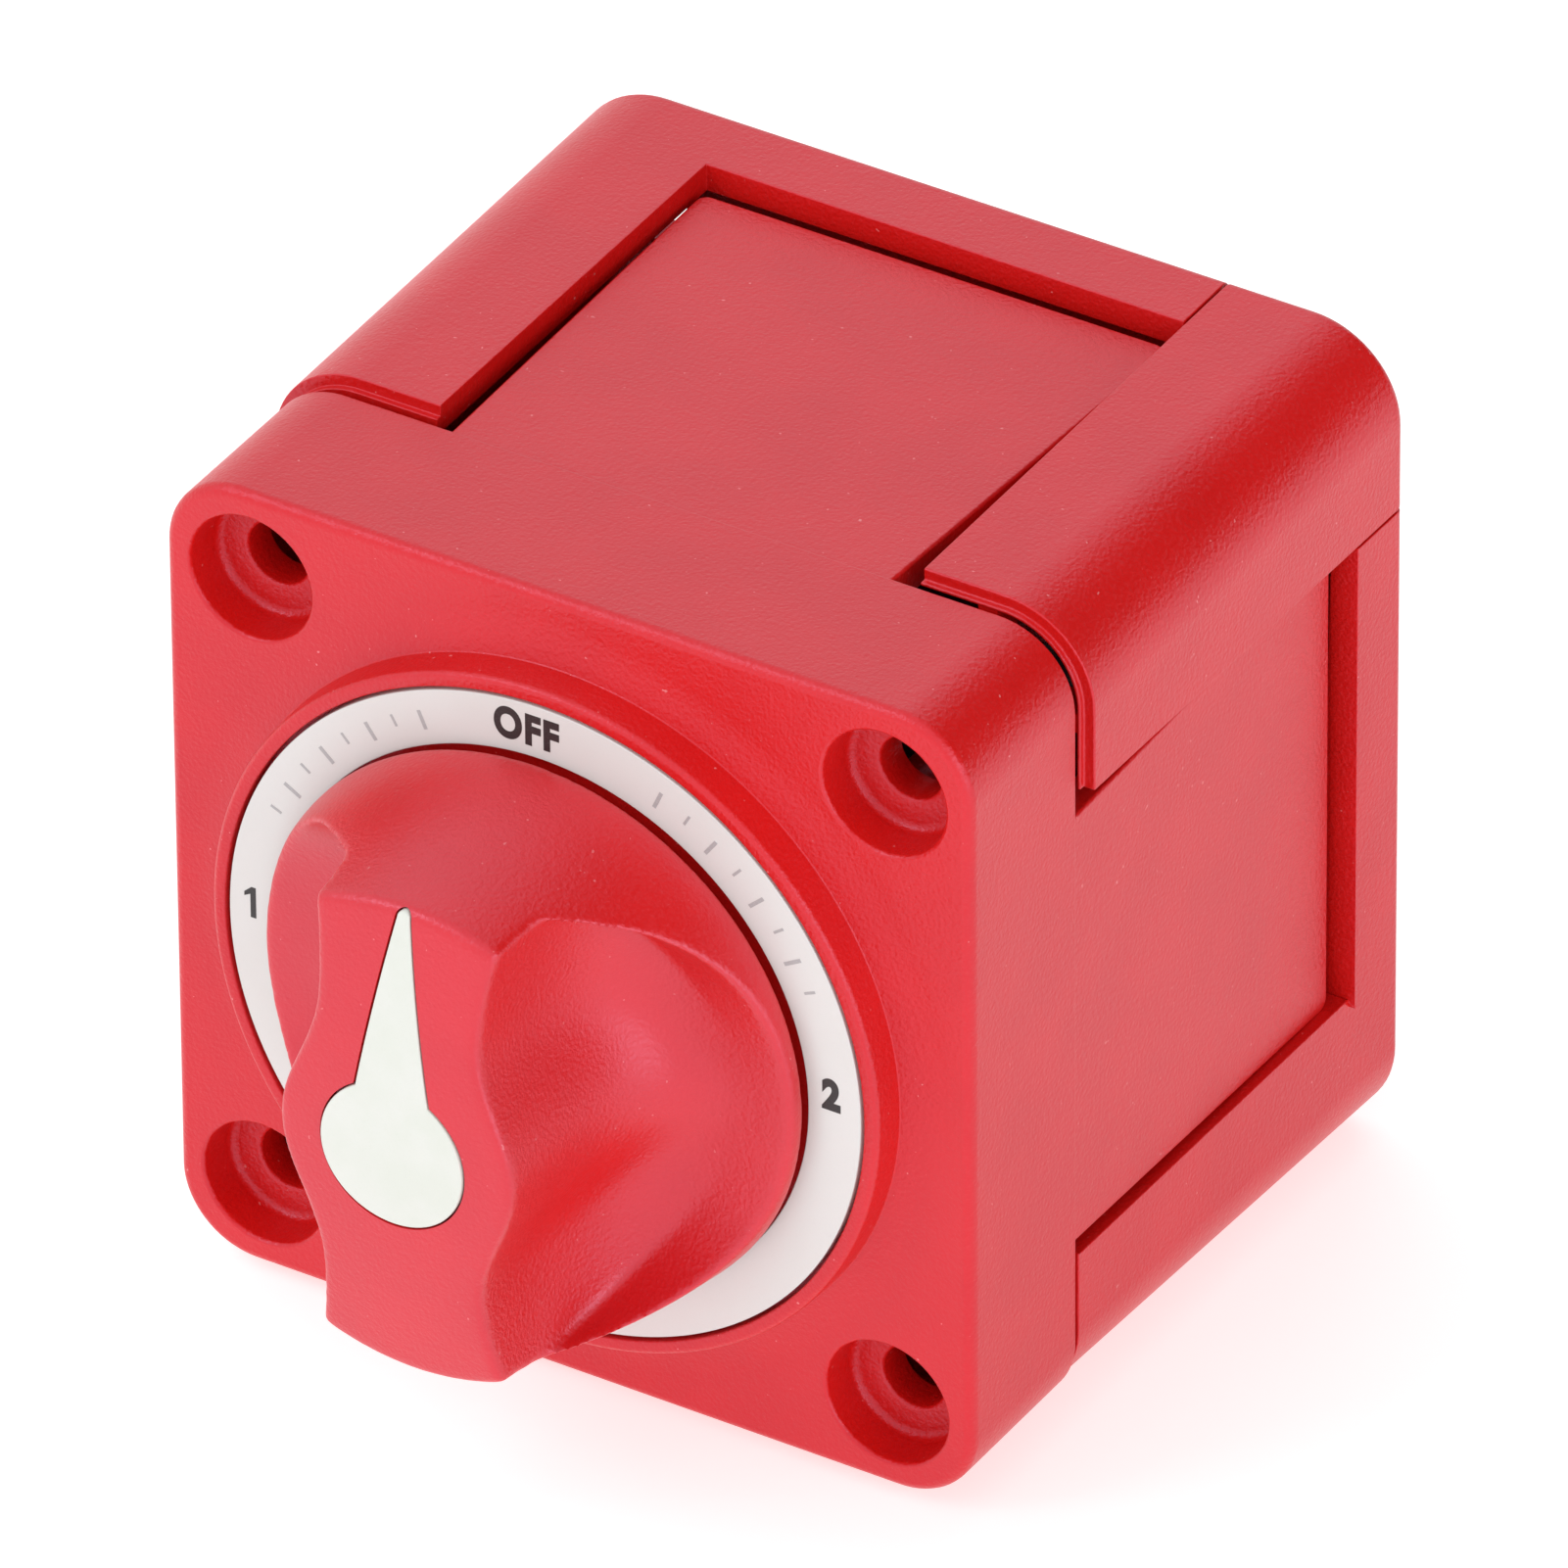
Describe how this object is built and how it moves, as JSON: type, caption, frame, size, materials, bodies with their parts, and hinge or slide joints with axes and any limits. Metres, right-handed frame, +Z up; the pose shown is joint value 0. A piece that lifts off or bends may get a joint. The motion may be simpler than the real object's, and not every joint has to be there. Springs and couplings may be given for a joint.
{
  "type": "battery switch",
  "caption": "Square surface-mount battery selector switch with a raised round dial, a turning grip knob with a pointer, and a box-shaped rear cover over the terminals.",
  "frame": {"origin": "centre of the rear mounting face, on the knob's axis", "axes": "+Y out of the rear face into the panel, -Y out of the front towards the user, +Z up with the knob pointing up at off, +X to the right as the front is seen"},
  "size_m": [0.0712, 0.0846, 0.0712],
  "materials": {
    "case_red": "fine spark-eroded texture",
    "cover_red": "fine spark-eroded texture",
    "knob_red": "fine satin texture",
    "dial_white": "printed satin label",
    "pointer_white": "satin, slightly green",
    "black_nylon": "glass-filled, matt",
    "seal_rubber": "matt",
    "steel": "stainless, plain",
    "copper": "bright copper",
    "tinned_copper": "tin plated copper"
  },
  "bodies": {
    "case": {"front_case": "case_red", "dial_label": "dial_white", "case_gasket": "seal_rubber", "base_block": "black_nylon", "case_screw_1": "steel", "case_screw_2": "steel", "case_screw_3": "steel", "case_screw_4": "steel", "terminal_stud_1": "tinned_copper", "flat_washer_1": "tinned_copper", "lock_washer_1": "steel", "terminal_nut_1": "steel", "terminal_stud_2": "tinned_copper", "flat_washer_2": "tinned_copper", "lock_washer_2": "steel", "terminal_nut_2": "steel", "terminal_stud_common": "tinned_copper", "flat_washer_common": "tinned_copper", "lock_washer_common": "steel", "terminal_nut_common": "steel"},
    "knob_rotor": {"knob": "knob_red", "pointer_insert": "pointer_white", "knob_screw": "steel", "spindle": "steel", "spindle_seal": "seal_rubber", "spindle_clip": "steel", "rotor": "black_nylon", "detent_ball_upper": "steel", "detent_ball_lower": "steel", "detent_spring_upper": "steel", "detent_spring_lower": "steel", "contact_spring": "steel", "moving_contact": "copper"},
    "rear_cover_body": {"rear_cover": "cover_red"},
    "corner_cover_body": {"corner_cover": "cover_red"}
  },
  "joints": [
    {"name": "knob_turn", "type": "hinge", "parent": "case", "child": "knob_rotor", "pos_m": [0, -0.06, 0], "axis": [0, -1, 0], "range_deg": [-90, 90]},
    {"name": "rear_cover_pull", "type": "slide", "parent": "case", "child": "rear_cover_body", "axis": [0, 1, 0], "range_m": [0, 0.05]},
    {"name": "corner_cover_lift", "type": "slide", "parent": "rear_cover_body", "child": "corner_cover_body", "axis": [0.7071, 0, 0.7071], "range_m": [0, 0.02]}
  ]
}
